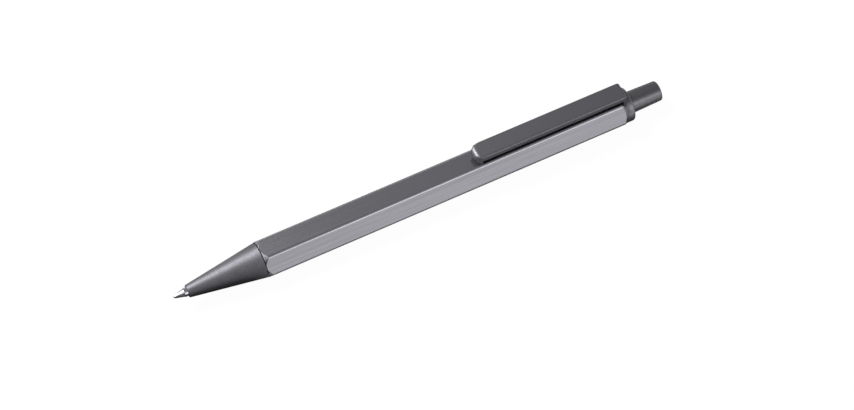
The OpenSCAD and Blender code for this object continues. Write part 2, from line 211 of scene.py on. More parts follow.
rays = tree.nodes.new("ShaderNodeLightPath")
plain = mix_values(tree, rays.outputs["Is Glossy Ray"], DIFFUSE_LEVEL, room)
white = mix_values(tree, seen_directly(tree, rays), plain, ROOM_WHITE)
shade = tree.nodes.new("ShaderNodeBackground")
tree.links.new(white, shade.inputs["Strength"])
tree.links.new(shade.outputs[0], tree.nodes.new("ShaderNodeOutputWorld").inputs["Surface"])
print("world nodes:", len(tree.nodes))

# %% [markdown]
# ## Softboxes
# Two soft lamps do the rest. The key stands behind the nose, on the left, and draws the bright line
# along the top of the cone. The second is a wide box in front that lights the upper edge of the
# barrel and the knob. Sun or point lamps would give hard sparks instead of lines. Each lamp is
# given by the brightness of its face, where 1 is the white of the background, because that is what
# a metal mirrors.

# %% Lamps
SOFTBOXES = [
    # name, direction from the pen, distance in m, width and height in m, brightness of its face
    ("key", (-0.40, 0.48, 0.78), 0.65, (0.29, 0.29), 18),
    ("front_box", (0.32, -0.84, 0.44), 0.70, (0.40, 0.24), 1.3),
]

for name, toward, distance, (width, height), face in SOFTBOXES:
    lamp = bpy.data.lights.new(name, "AREA")
    lamp.shape = "RECTANGLE"
    lamp.size = width
    lamp.size_y = height
    lamp.energy = math.pi * width * height * face
    box = bpy.data.objects.new(name, lamp)
    bpy.context.scene.collection.objects.link(box)
    ray = Vector(toward).normalized()
    box.location = ray * distance
    box.rotation_euler = ray.to_track_quat("Z", "Y").to_euler()
    box.visible_camera = False
    print(name, f"{lamp.energy:.2f} W")

# %% [markdown]
# ## Cards on the table
# A metal cone on a white table mirrors so much white that its lower side fades away. Photographers
# lay black card under and beside it, so that its sides keep a dark line. Here a black card lies at
# the nose, a grey one before the barrel, and a dark one behind it. Only reflections see them, which
# saves retouching them out of the picture.

# %% Cards
CARDS = [
    # name, start and end along the pen, edge in front and edge behind, all in m, and its grey
    ("black_card", -0.130, -0.047, -0.090, 0.012, 0.02),
    ("grey_card", -0.047, 0.110, -0.016, -0.003, 0.35),
    ("far_card", -0.047, 0.092, 0.003, 0.030, 0.10),
]
CARD_HEIGHT = 0.0003
FELT_ROUGHNESS = 0.9

for name, start, end, front, rear, grey in CARDS:
    bpy.ops.object.select_all(action="DESELECT")
    bpy.ops.mesh.primitive_plane_add(
        size=1, location=((start + end) / 2, (front + rear) / 2, CARD_HEIGHT))
    bpy.ops.transform.resize(value=(end - start, rear - front, 1))
    card = bpy.context.object
    card.name = name
    card.visible_camera = False
    card.visible_diffuse = False
    card.visible_shadow = False
    card.visible_transmission = False
    felt = bpy.data.materials.new(name)
    felt.use_nodes = True
    shader = felt.node_tree.nodes["Principled BSDF"]
    shader.inputs["Base Color"].default_value = (grey, grey, grey, 1)
    shader.inputs["Roughness"].default_value = FELT_ROUGHNESS
    card.data.materials.append(felt)
    print(name, round((end - start) / MM), "mm long")

# %% [markdown]
# ## Floor
# The pen was photographed on white. A floor that is simply white would send too much light up, so
# its own colour is pale, and the camera and the metal see a white veil over it. The veil leaves a
# share of the real surface showing, and with it the pen's soft shadow.

# %% Floor
FLOOR_SIZE = 6
FLOOR_COLOUR = (0.62, 0.62, 0.625, 1)
VEIL = 0.92
GLOW = 1.05


def mix_shaders(tree, factor, a, b):
    """Mixes two shaders."""
    node = tree.nodes.new("ShaderNodeMixShader")
    for socket, given in zip(node.inputs, (factor, a, b)):
        plug(tree, socket, given)
    return node.outputs[0]


bpy.ops.object.select_all(action="DESELECT")
bpy.ops.mesh.primitive_plane_add(size=FLOOR_SIZE)
floor = bpy.context.object
floor.name = "floor"
paper = bpy.data.materials.new("paper_floor")
tree = blank_tree(paper)
matt = tree.nodes.new("ShaderNodeBsdfDiffuse")
matt.inputs["Color"].default_value = FLOOR_COLOUR
glow = tree.nodes.new("ShaderNodeEmission")
glow.inputs["Strength"].default_value = GLOW
veiled = mix_shaders(tree, VEIL, matt.outputs[0], glow.outputs[0])
rays = tree.nodes.new("ShaderNodeLightPath")
seen = math_node(tree, "MAXIMUM", seen_directly(tree, rays), rays.outputs["Is Glossy Ray"])
surface = mix_shaders(tree, seen, matt.outputs[0], veiled)
tree.links.new(surface, tree.nodes.new("ShaderNodeOutputMaterial").inputs["Surface"])
floor.data.materials.append(paper)
bpy.context.scene.view_settings.view_transform = "Standard"
print("floor", FLOOR_SIZE, "m wide")

# %% [markdown]
# ## Shared surface effects
# Four effects come back in many finishes: lines brushed along the pen, rings left by the lathe, the
# fine grain of bead blasting or moulding, and the rub that hands leave on edges. Each is a node
# group, built once and placed in every material with its own values. All of them read Object
# coordinates in metres, so a pattern keeps its real size and rides with its piece. Each gives one
# mask, mostly a fine pattern and a broad one added together, because no real surface is even.

# %% Group helpers
MASK_OUT = "Mask"


def new_group(name, inputs):
    """Starts a node group with float inputs, given as {name: value}, and one float output."""
    group = bpy.data.node_groups.new(name, "ShaderNodeTree")
    for label, value in inputs.items():
        socket = group.interface.new_socket(label, in_out="INPUT", socket_type="NodeSocketFloat")
        socket.default_value = value
    group.interface.new_socket(MASK_OUT, in_out="OUTPUT", socket_type="NodeSocketFloat")
    return group, group.nodes.new("NodeGroupInput"), group.nodes.new("NodeGroupOutput")


def scaled_place(group, x, y, z):
    """Object coordinates with each axis multiplied by its own socket or number."""
    place = group.nodes.new("ShaderNodeTexCoord").outputs["Object"]
    apart = group.nodes.new("ShaderNodeSeparateXYZ")
    group.links.new(place, apart.inputs[0])
    joined = group.nodes.new("ShaderNodeCombineXYZ")
    for axis, factor in enumerate((x, y, z)):
        product = math_node(group, "MULTIPLY", apart.outputs[axis], factor)
        group.links.new(product, joined.inputs[axis])
    return joined.outputs[0]


def noise(group, vector, detail, roughness=0.55):
    """Adds a noise texture and returns its value, from 0 to 1."""
    node = group.nodes.new("ShaderNodeTexNoise")
    node.inputs["Scale"].default_value = 1
    node.inputs["Detail"].default_value = detail
    node.inputs["Roughness"].default_value = roughness
    group.links.new(vector, node.inputs["Vector"])
    return node.outputs["Fac"]


def close_group(group, result, fine, broad, share):
    """Makes the group's mask of a fine and a broad pattern, the fine one with this share."""
    parts = [math_node(group, "MULTIPLY", fine, share),
             math_node(group, "MULTIPLY", broad, 1 - share)]
    group.links.new(math_node(group, "ADD", *parts), result.inputs[MASK_OUT])
    return group


# %% [markdown]
# ### Brushed lines
# An abrasive belt draws scratches along the bar. A noise that is stretched along the pen and
# squeezed across it gives them, where a wave texture would repeat too evenly. A second noise,
# broader and four times as long, gives the few streaks that still show when the pen is seen whole.

# %% Lines brushed along the pen
STREAKS_ACROSS, STREAKS_ALONG = 0.16, 0.25

group, given, result = new_group("brushed_lines", {"Lines per mm": 12, "Length mm": 9})
across = math_node(group, "MULTIPLY", given.outputs["Lines per mm"], 1 / MM)
along = math_node(group, "DIVIDE", 1 / MM, given.outputs["Length mm"])
fine = noise(group, scaled_place(group, along, across, across), detail=3)
across = math_node(group, "MULTIPLY", across, STREAKS_ACROSS)
along = math_node(group, "MULTIPLY", along, STREAKS_ALONG)
broad = noise(group, scaled_place(group, along, across, across), detail=2)
brushed_lines = close_group(group, result, fine, broad, share=0.5)
print(brushed_lines.name, len(brushed_lines.nodes), "nodes")

# %% [markdown]
# ### Turned rings
# A lathe tool leaves rings across the pen, close together and nearly true. The same noise is now
# fine along the pen and slow across it, so the rings waver a little on their way round, as real
# ones do.

# %% Rings left by the lathe
WIDE_RINGS = 0.2

group, given, result = new_group("turned_rings", {"Rings per mm": 14, "Waver": 60})
rings = math_node(group, "MULTIPLY", given.outputs["Rings per mm"], 1 / MM)
waver = given.outputs["Waver"]
fine = noise(group, scaled_place(group, rings, waver, waver), detail=2)
rings = math_node(group, "MULTIPLY", rings, WIDE_RINGS)
broad = noise(group, scaled_place(group, rings, waver, waver), detail=1)
turned_rings = close_group(group, result, fine, broad, share=0.7)
print(turned_rings.name, len(turned_rings.nodes), "nodes")

# %% [markdown]
# ### Fine grain
# Glass beads, paint and a mould all leave an even grain with no direction. The noise keeps its
# shape here, and the broad one is much larger, like the clouds that a hand-held blasting gun
# leaves.

# %% Grain of blasting, paint and moulding
CLOUDS = 0.12

group, given, result = new_group("fine_grain", {"Grains per mm": 8})
grains = math_node(group, "MULTIPLY", given.outputs["Grains per mm"], 1 / MM)
fine = noise(group, scaled_place(group, grains, grains, grains), detail=2, roughness=0.6)
grains = math_node(group, "MULTIPLY", grains, CLOUDS)
broad = noise(group, scaled_place(group, grains, grains, grains), detail=3)
fine_grain = close_group(group, result, fine, broad, share=0.65)
print(fine_grain.name, len(fine_grain.nodes), "nodes")

# %% [markdown]
# ### Edge rub
# Fingers and pockets polish what stands out furthest. On a pen that is simply the distance from its
# axis, so the mask rises over a narrow band of radii, and a noise breaks it up into patches. A
# pointiness mask would need a dense mesh and would be lost in the export.

# %% Rub on edges that stand out from the axis
PATCHES_ALONG, PATCHES_ACROSS = 260, 900

group, given, result = new_group("edge_rub", {"Rub from mm": 5.1, "Rub to mm": 5.3})
place = group.nodes.new("ShaderNodeTexCoord").outputs["Object"]
apart = group.nodes.new("ShaderNodeSeparateXYZ")
group.links.new(place, apart.inputs[0])
side = apart.outputs["Y"]
height = math_node(group, "SUBTRACT", apart.outputs["Z"], AXIS_Z)
squares = [math_node(group, "MULTIPLY", way, way) for way in (side, height)]
square = math_node(group, "ADD", *squares)
reach = math_node(group, "MULTIPLY", math_node(group, "SQRT", square), 1 / MM)
band = map_range(
    group, reach, given.outputs["Rub from mm"], given.outputs["Rub to mm"], kind="SMOOTHSTEP")
patchy = noise(
    group, scaled_place(group, PATCHES_ALONG, PATCHES_ACROSS, PATCHES_ACROSS), detail=4)
group.links.new(math_node(group, "MULTIPLY", band, patchy), result.inputs[MASK_OUT])
edge_rub = group
print("effects:", ", ".join(g.name for g in bpy.data.node_groups))

# %% [markdown]
# ## Finishes
# Every finish is one Principled shader. A pattern moves the colour and the roughness between two
# values and lifts a bump of a few thousandths of a millimetre, and the rub lightens the edges. What
# never changes over a piece, such as its being metal, is set on the shader itself.
#
# A highlight that one piece mirrors in the next would come out as stray bright grains. So a piece
# that is seen in another piece is given a rougher surface there, which keeps its tone only.

# %% Finish helper
MIRRORED_ROUGHNESS = 0.8
COAT_ROUGHNESS = 0.25
MASK_LOW, MASK_HIGH = 0.3, 0.7


def place_group(tree, group, values):
    """Places a shared effect in a material, with its own values, and returns its mask."""
    node = tree.nodes.new("ShaderNodeGroup")
    node.node_tree = group
    for label, value in values.items():
        node.inputs[label].default_value = value
    return node.outputs[MASK_OUT]


def mix_colours(tree, mask, a, b):
    """Mixes two colours, each a socket or an (r, g, b) value."""
    node = tree.nodes.new("ShaderNodeMix")
    node.data_type = "RGBA"
    tree.links.new(mask, node.inputs["Factor"])
    for socket, given in ((node.inputs[6], a), (node.inputs[7], b)):
        plug(tree, socket, (*given, 1) if isinstance(given, tuple) else given)
    return node.outputs[2]


def finish(name, colours, roughness, pattern, values, bump_mm, metal=1.0, coat=0.0,
           rub=None, rub_colour=None):
    """A finish: a pattern moves between two colours and two roughnesses and lifts a bump."""
    material = bpy.data.materials.new(name)
    material.use_nodes = True
    tree = material.node_tree
    shader = tree.nodes["Principled BSDF"]
    shader.inputs["Metallic"].default_value = metal
    shader.inputs["Coat Weight"].default_value = coat
    shader.inputs["Coat Roughness"].default_value = COAT_ROUGHNESS
    mask = place_group(tree, pattern, values)
    colour = mix_colours(tree, map_range(tree, mask, MASK_LOW, MASK_HIGH), *colours)
    if rub:
        worn = place_group(tree, edge_rub, {"Rub from mm": rub[0], "Rub to mm": rub[1]})
        colour = mix_colours(tree, worn, colour, rub_colour)
    tree.links.new(colour, shader.inputs["Base Color"])
    rough = map_range(tree, mask, MASK_LOW, MASK_HIGH, *roughness)
    rays = tree.nodes.new("ShaderNodeLightPath")
    softened = math_node(tree, "MULTIPLY", rays.outputs["Is Glossy Ray"], MIRRORED_ROUGHNESS)
    tree.links.new(math_node(tree, "MAXIMUM", rough, softened), shader.inputs["Roughness"])
    bump = tree.nodes.new("ShaderNodeBump")
    bump.inputs["Strength"].default_value = 1
    bump.inputs["Distance"].default_value = bump_mm * MM
    tree.links.new(mask, bump.inputs["Height"])
    tree.links.new(bump.outputs[0], shader.inputs["Normal"])
    return material


# %% [markdown]
# ### Metals
# The barrel is bare aluminium: brushed on its flats, turned at its ends. The nose, the collar, the
# knob and the clip are dyed graphite, and differ in how they were worked: blasted, turned or
# coated. The point, the ball and the refill's tube are bare again. One grey level sets each metal,
# because all of them share the faint violet cast of the photograph, and two levels close together
# are enough: most of what changes over a metal is its roughness.

# %% Metal finishes
SILVER_CAST = (1.015, 1, 1.09)
GRAPHITE_CAST = (1.02, 1, 1.1)


def silver(level):
    """A bare metal's colour."""
    return tuple(level * cast for cast in SILVER_CAST)


def graphite(level):
    """A dyed metal's colour, with a little more of the cast."""
    return tuple(level * cast for cast in GRAPHITE_CAST)


brushed_aluminium = finish(
    "brushed_aluminium", (silver(0.32), silver(0.42)), (0.29, 0.20), brushed_lines,
    {"Lines per mm": 12, "Length mm": 9}, 0.0016, rub=(5.12, 5.3), rub_colour=silver(0.46))
turned_aluminium = finish(
    "turned_aluminium", (silver(0.29), silver(0.37)), (0.28, 0.20), turned_rings,
    {"Rings per mm": 9, "Waver": 40}, 0.002)
blasted_graphite = finish(
    "blasted_graphite", (graphite(0.13), graphite(0.205)), (0.58, 0.50), fine_grain,
    {"Grains per mm": 5}, 0.004, rub=(4.55, 4.66), rub_colour=graphite(0.2))
turned_graphite = finish(
    "turned_graphite", (graphite(0.16), graphite(0.21)), (0.42, 0.34), turned_rings,
    {"Rings per mm": 11, "Waver": 60}, 0.003, rub=(4.46, 4.56), rub_colour=graphite(0.24))
coated_graphite = finish(
    "coated_graphite", (graphite(0.13), graphite(0.185)), (0.52, 0.40), fine_grain,
    {"Grains per mm": 4}, 0.004)
polished_point = finish(
    "polished_point", (silver(0.60), silver(0.66)), (0.15, 0.13), turned_rings,
    {"Rings per mm": 7, "Waver": 30}, 0.00005)
ball_carbide = finish(
    "ball_carbide", (silver(0.42), silver(0.5)), (0.12, 0.07), fine_grain,
    {"Grains per mm": 30}, 0.0003)
drawn_steel = finish(
    "drawn_steel", (silver(0.5), silver(0.62)), (0.34, 0.24), brushed_lines,
    {"Lines per mm": 10, "Length mm": 14}, 0.002)
spring_wire = finish(
    "spring_wire", (silver(0.46), silver(0.6)), (0.30, 0.20), fine_grain,
    {"Grains per mm": 14}, 0.001)
print("materials so far:", len(bpy.data.materials))

# %% [markdown]
# ### Plastics and ink
# The mechanism is moulded acetal, ivory for the parts that slide and white for the sleeve, and the
# refill's plug is black. Ink is a thick dark blue that looks wet, which a thin coat gives. They are
# the same kind of finish with the metal turned off, so that they take up no code of their own.

# %% Plastics and ink
moulded_ivory = finish(
    "moulded_ivory", ((0.66, 0.62, 0.50), (0.72, 0.69, 0.58)), (0.52, 0.40), fine_grain,
    {"Grains per mm": 7}, 0.003, metal=0.0)
moulded_white = finish(
    "moulded_white", ((0.68, 0.68, 0.67), (0.76, 0.76, 0.75)), (0.50, 0.38), fine_grain,
    {"Grains per mm": 7}, 0.003, metal=0.0)
moulded_black = finish(
    "moulded_black", ((0.012, 0.012, 0.014), (0.022, 0.022, 0.025)), (0.52, 0.40), fine_grain,
    {"Grains per mm": 9}, 0.003, metal=0.0)
thick_ink = finish(
    "thick_ink", ((0.004, 0.006, 0.030), (0.008, 0.011, 0.045)), (0.22, 0.12), fine_grain,
    {"Grains per mm": 3}, 0.002, metal=0.0, coat=0.4)
print("materials:", len(bpy.data.materials))

# %% [markdown]
# ## Shaping by hand
# The pieces are shaped with the operators that a reader would use in the window. They act on all
# that is selected, and the loaded frame is selected too, so the first helper picks one piece and
# drops the rest. A mesh could also be written down as lists of corners and faces, but then a later
# bevel or cut would mean new lists.

# %% Editing helpers
def choose(piece):
    """Makes one piece the only selected object, and the active one."""
    bpy.ops.object.select_all(action="DESELECT")
    piece.select_set(True)
    bpy.context.view_layer.objects.active = piece


def begin_edit(piece):
    """Opens one piece for editing, with nothing selected in it."""
    choose(piece)
    bpy.ops.object.mode_set(mode="EDIT")
    bpy.ops.mesh.select_mode(type="VERT")
    bpy.ops.mesh.select_all(action="DESELECT")


def end_edit():
    """Closes the piece that is open for editing."""
    bpy.ops.object.mode_set(mode="OBJECT")


def settle(piece):
    """Puts a piece's place into its mesh."""
    choose(piece)
    bpy.ops.object.transform_apply(location=True, rotation=True, scale=True)


def report(piece):
    """Prints a piece's triangles and its reach along the pen."""
    faces = sum(len(p.vertices) - 2 for p in piece.data.polygons)
    low = min(v.co.x for v in piece.data.vertices)
    high = max(v.co.x for v in piece.data.vertices)
    print(f"{piece.name}: {faces} triangles, "
          f"{(low - TIP_X) / MM:.2f} to {(high - TIP_X) / MM:.2f} mm")


# %% [markdown]
# ## Barrel
# The real barrel is six-sided bar, drawn through a die that leaves its long edges round, brushed
# along its length, then bored and chamfered on a lathe. The model follows the same steps, because
# the scalloped ends then come out by themselves. First comes the bar: a six-sided cylinder with its
# long edges bevelled to a true radius. It is left a little long at both ends.

# %% Barrel: six-sided bar
BARREL_START, BARREL_END = 23.65, 124.35
FLATS = 9.4
EDGE_RADIUS = 1.0
SPARE = 1.0
LONG_EDGE = 50

bpy.ops.object.select_all(action="DESELECT")
bpy.ops.mesh.primitive_cylinder_add(
    vertices=6,
    radius=FLATS / 2 / math.cos(math.pi / 6) * MM,
    depth=(BARREL_END - BARREL_START + 2 * SPARE) * MM,
    location=(station((BARREL_START + BARREL_END) / 2), 0, AXIS_Z),
    rotation=(0, math.pi / 2, 0),
)
barrel = bpy.context.object
barrel.name = "barrel_body"
settle(barrel)
begin_edit(barrel)
bpy.ops.mesh.select_mode(type="EDGE")
mesh = bmesh.from_edit_mesh(barrel.data)
for edge in mesh.edges:
    a, b = edge.verts
    edge.select_set(abs(a.co.x - b.co.x) > LONG_EDGE * MM)
bmesh.update_edit_mesh(barrel.data)
bpy.ops.mesh.bevel(offset=EDGE_RADIUS * math.tan(math.pi / 6) * MM, segments=8, affect="EDGES")
end_edit()
report(barrel)

# %% [markdown]
# ### Turning
# The barrel's ends and bore are lathe work, and so are the nose, collar, knob and point. A turner
# thinks of half of the section, so that is what is drawn: a flat is shrunk to one point, the point
# is extruded from corner to corner of the half section, and the outline is spun once round the
# pen's axis. The seam is then merged, and the normals are recalculated, because a spin can turn the
# shape inside out.

# %% Turning helper
WELD = 1e-6
COARSE_STEPS, STEPS, FINE_STEPS = 96, 128, 144


def turn(name, outline, steps, closed=True):
    """Spins an outline of (station, radius) points in mm about the pen's axis."""
    points = [Vector((station(z), 0, AXIS_Z + r * MM)) for z, r in outline]
    if closed:
        points.append(points[0])
    bpy.ops.object.select_all(action="DESELECT")
    bpy.ops.mesh.primitive_plane_add(size=MM, location=points[0])
    piece = bpy.context.object
    piece.name = name
    settle(piece)
    begin_edit(piece)
    bpy.ops.mesh.select_all(action="SELECT")
    bpy.ops.mesh.merge(type="CENTER")
    for a, b in zip(points, points[1:]):
        bpy.ops.mesh.extrude_region_move(TRANSFORM_OT_translate={"value": b - a})
    bpy.ops.mesh.select_all(action="SELECT")
    bpy.ops.mesh.remove_doubles(threshold=WELD)
    bpy.ops.mesh.select_all(action="SELECT")
    bpy.ops.mesh.spin(steps=steps, angle=2 * math.pi, center=(0, 0, AXIS_Z), axis=(1, 0, 0))
    bpy.ops.mesh.select_all(action="SELECT")
    bpy.ops.mesh.remove_doubles(threshold=WELD)
    bpy.ops.mesh.normals_make_consistent(inside=False)
    end_edit()
    return piece


# %% [markdown]
# On the lathe the ends are faced and chamfered, and the bore is drilled, wide at both ends for the
# threads. All of that is one turned solid, and what it shares with the bar is the barrel: where the
# chamfer's cone meets a flat, it leaves the round end that the photograph shows.

# %% Barrel: what the lathe leaves
FRONT_CHAMFER, REAR_CHAMFER = math.radians(25), math.radians(38)
END_FACE_R = 4.74
THREAD_BORE, REFILL_BORE = 3.8, 3.3
FRONT_THREAD_END, SLEEVE_START = 32.25, 101.78
MOUTH, STEP_CONE = 0.15, 0.3
CUT_RADIUS = 6.0


def boolean(piece, tool, operation):
    """Applies a boolean with another mesh and removes that mesh."""
    bpy.context.view_layer.objects.active = piece
    modifier = piece.modifiers.new(operation, "BOOLEAN")
    modifier.operation = operation
    modifier.object = tool
    modifier.solver = "EXACT"
    bpy.ops.object.modifier_apply(modifier=modifier.name)
    bpy.data.objects.remove(tool)


chamfer_depth = CUT_RADIUS - END_FACE_R
lathe = turn("lathe_envelope", [
    (BARREL_START, THREAD_BORE + MOUTH),
    (BARREL_START, END_FACE_R),
    (BARREL_START + chamfer_depth / math.tan(FRONT_CHAMFER), CUT_RADIUS),
    (BARREL_END - chamfer_depth / math.tan(REAR_CHAMFER), CUT_RADIUS),
    (BARREL_END, END_FACE_R),
    (BARREL_END, THREAD_BORE + MOUTH),
    (BARREL_END - MOUTH, THREAD_BORE),
    (SLEEVE_START, THREAD_BORE),
    (SLEEVE_START - STEP_CONE, REFILL_BORE),
    (FRONT_THREAD_END + STEP_CONE, REFILL_BORE),
    (FRONT_THREAD_END, THREAD_BORE),
    (BARREL_START + MOUTH, THREAD_BORE),
], FINE_STEPS)
boolean(barrel, lathe, "INTERSECT")
report(barrel)

# %% [markdown]
# The brushing stops where the lathe has cut, so the chamfers, end faces and bore get the turned
# finish. They are told apart by where they face and how near the axis they lie, and not by their
# numbers, which change with every edit. A last fine round takes the sharpness off the edges,
# because on real metal it is the thin bright line on an edge that shows its weight.

# %% Barrel: finish
EDGE_BREAK = 0.05
TURNED_TILT, BORE_REACH = 0.2, 4.2


def break_edges(piece, width, degrees, segments=2):
    """Rounds every edge that is sharper than an angle, as a deburring wheel does."""
    bpy.context.view_layer.objects.active = piece
    modifier = piece.modifiers.new("break", "BEVEL")
    modifier.width = width * MM
    modifier.segments = segments
    modifier.limit_method = "ANGLE"
    modifier.angle_limit = math.radians(degrees)
    modifier.use_clamp_overlap = True
    bpy.ops.object.modifier_apply(modifier=modifier.name)


def smooth(piece, degrees):
    """Shades a piece smooth but for its sharp edges, and lets large faces keep their direction."""
    choose(piece)
    bpy.ops.object.shade_smooth_by_angle(angle=math.radians(degrees))
    modifier = piece.modifiers.new("normals", "WEIGHTED_NORMAL")
    modifier.weight = 100
    modifier.keep_sharp = True
    bpy.ops.object.modifier_apply(modifier=modifier.name)


barrel.data.materials.append(brushed_aluminium)
barrel.data.materials.append(turned_aluminium)
for face in barrel.data.polygons:
    reach = math.hypot(face.center.y, face.center.z - AXIS_Z)
    turned = abs(face.normal.x) > TURNED_TILT or reach < BORE_REACH * MM
    face.material_index = 1 if turned else 0
break_edges(barrel, EDGE_BREAK, degrees=14)
smooth(barrel, degrees=12)
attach(barrel, "barrel")
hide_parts("barrel")
report(barrel)

# %% [markdown]
# ## Nose
# The nose is a long cone, turned, bead-blasted and anodised dark. Its front edge and its base are
# chamfered a little, and behind the base a threaded spigot screws into the barrel. The thread is
# modelled as close rings: the eye can't tell them from a helix, and they spin with the rest.
# Inside, the bore steps down to the front: for the refill, its spring, its neck and its point.

# %% Nose
NOSE_START, SHOULDER = 3.7, 23.5
NOSE_TIP_R, NOSE_BASE_R = 1.68, 4.625
NOSE_EDGE = 0.15
ROUNDING, TIP_ROUNDING, BASE_ROUNDING = 0.04, 0.05, 0.03
SPIGOT_END, NECK_LEN = 31.5, 0.8
THREAD_R, THREAD_DEPTH, THREAD_PITCH = 3.75, 0.2, 0.75
THREAD_SHAPE = [(0.2, 1), (0.45, 1), (0.75, 0), (1.0, 0)]
MOUTH_BREAK = 0.06
NOSE_BORES = [(17.3, 3.15), (11.0, 2.29), (8.8, 1.75), (NOSE_START + MOUTH_BREAK, 1.25)]


def thread(start, end):
    """Thread crests from one station to another, in lathe order."""
    root = THREAD_R - THREAD_DEPTH
    count = int((end - start) / THREAD_PITCH)
    first = end - count * THREAD_PITCH
    rings = [(first + (i + p) * THREAD_PITCH, THREAD_R - THREAD_DEPTH * (1 - h))
             for i in range(count) for p, h in THREAD_SHAPE]
    return [(start, root), (first, root), *rings]


def bored(start, bores):
    """A stepped bore in lathe order. Each (end, radius) runs on from the last one."""
    points = []
    for end, radius in bores:
        points += [(start, radius), (end, radius)]
        start = end
    return points


nose = turn("nose_shell", [
    (NOSE_START, NOSE_TIP_R - NOSE_EDGE),
    (NOSE_START + ROUNDING, NOSE_TIP_R - TIP_ROUNDING),
    (NOSE_START + NOSE_EDGE, NOSE_TIP_R),
    (SHOULDER - NOSE_EDGE, NOSE_BASE_R),
    (SHOULDER - ROUNDING, NOSE_BASE_R - BASE_ROUNDING),
    (SHOULDER, NOSE_BASE_R - NOSE_EDGE),
    (SHOULDER, THREAD_R - THREAD_DEPTH),
    *thread(SHOULDER + NECK_LEN, SPIGOT_END),
    *bored(SPIGOT_END, NOSE_BORES),
    (NOSE_START, NOSE_BORES[-1][1] + MOUTH_BREAK),
], STEPS)
nose.data.materials.append(blasted_graphite)
smooth(nose, degrees=25)
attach(nose, "nose")
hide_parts("nose_cone")
report(nose)

# %% [markdown]
# ## Collar
# Behind the clip's ring sits a turned collar with a soft rear edge. Its spigot screws into the
# barrel and clamps the clip, and its bore guides the knob. It is drawn from inside the barrel out
# to the rear edge and back through the bore, with an arc for the soft edge, which a bevel would
# make too, but not as evenly round the rim.

# %% Collar
COLLAR_START, COLLAR_END = 125.25, 127.1
COLLAR_R, COLLAR_ROUND = 4.55, 0.45
SPIGOT_START, THREAD_FROM = 116.48, 119.35
KNOB_STOP, FLANGE_HOLE, KNOB_HOLE = 124.38, 3.125, 3.0
COLLAR_EDGE, COLLAR_EDGE_MIDDLE, HOLE_BREAK = 0.12, 0.035, 0.06


def arc(z, r, radius, start, end, steps):
    """Points on an arc about (z, r), with angles in degrees from the pen's axis."""
    angles = [math.radians(start + (end - start) * i / steps) for i in range(steps + 1)]
    return [(z + radius * math.cos(a), r + radius * math.sin(a)) for a in angles]


collar = turn("rear_collar_turned", [
    (SPIGOT_START, FLANGE_HOLE),
    (SPIGOT_START, THREAD_R - COLLAR_EDGE),
    (SPIGOT_START + COLLAR_EDGE, THREAD_R),
    (THREAD_FROM, THREAD_R),
    *thread(THREAD_FROM, COLLAR_START),
    (COLLAR_START, COLLAR_R - COLLAR_EDGE),
    (COLLAR_START + COLLAR_EDGE_MIDDLE, COLLAR_R - COLLAR_EDGE_MIDDLE),
    (COLLAR_START + COLLAR_EDGE, COLLAR_R),
    *arc(COLLAR_END - COLLAR_ROUND, COLLAR_R - COLLAR_ROUND, COLLAR_ROUND, 90, 0, 10),
    (COLLAR_END, KNOB_HOLE + HOLE_BREAK),
    (COLLAR_END - HOLE_BREAK, KNOB_HOLE),
    (KNOB_STOP, KNOB_HOLE),
    (KNOB_STOP, FLANGE_HOLE),
], STEPS)
collar.data.materials.append(turned_graphite)
smooth(collar, degrees=25)
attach(collar, "barrel")
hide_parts("rear_collar")
report(collar)

# %% [markdown]
# ## Knob
# The push knob stands out of the collar and draws in by a fifth of a millimetre towards its rounded
# end. A flange inside the barrel keeps it in, and a blind hole takes the plunger's stem. It has the
# collar's finish: the rings of the lathe make both a shade lighter than the nose.

# %% Knob
KNOB_FLANGE, KNOB_FLANGE_LEN, KNOB_FLANGE_R = 117.98, 1.2, 3.1
KNOB_R, KNOB_END_R, KNOB_ROUND = 2.9, 2.68, 0.5
FLANGE_BREAK = 0.08
PEN_END = 136.0
STEM_R, STEM_HOLE_END = 1.92, 127.48
DISH, DISH_SHARE, DISH_R = 0.05, 0.4, 1.2

knob = turn("push_knob_turned", [
    (KNOB_FLANGE, STEM_R),
    (KNOB_FLANGE, KNOB_FLANGE_R - FLANGE_BREAK),
    (KNOB_FLANGE + FLANGE_BREAK, KNOB_FLANGE_R),
    (KNOB_FLANGE + KNOB_FLANGE_LEN, KNOB_FLANGE_R),
    (KNOB_FLANGE + KNOB_FLANGE_LEN, KNOB_R),
    (COLLAR_END, KNOB_R),
    *arc(PEN_END - KNOB_ROUND, KNOB_END_R - KNOB_ROUND, KNOB_ROUND, 88, 0, 12),
    (PEN_END - DISH * DISH_SHARE, DISH_R),
    (PEN_END - DISH, 0),
    (STEM_HOLE_END, 0),
    (STEM_HOLE_END, STEM_R),
], STEPS)
knob.data.materials.append(turned_graphite)
smooth(knob, degrees=25)
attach(knob, "knob")
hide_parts("push_knob")
report(knob)

# %% [markdown]
# ## Writing point
# The point is turned and left bright, as nickel silver usually is: a cone of under three
# millimetres, a small shoulder, and a shank that disappears into the nose. Its very tip is rolled
# in over the ball, so the socket is drawn as a part of a circle round the ball with a little play.
# The ball keeps its construction mesh, which is round enough at that size.

# %% Writing point
BALL_R, BALL_GAP = 0.4, 0.012
SOCKET_DEGREES = (40, 55, 70, 85, 95)
POINT_LIP, LIP_R = 0.28, 0.43
LIP_EDGE, LIP_ROLL, ROLL_R = 0.03, 0.10, 0.47
POINT_CONE_END, POINT_END = 2.75, 14.0
CONE_R, POINT_R = 1.035, 1.15
CONE_ROUND, CONE_ROUND_DROP = 0.03, 0.012
SHOULDER_START, SHOULDER_END = 0.09, 0.13
SHANK_BORE, INK_BORE = 0.575, 0.24
BORE_CONE, INK_BORE_START = 0.3, 0.74

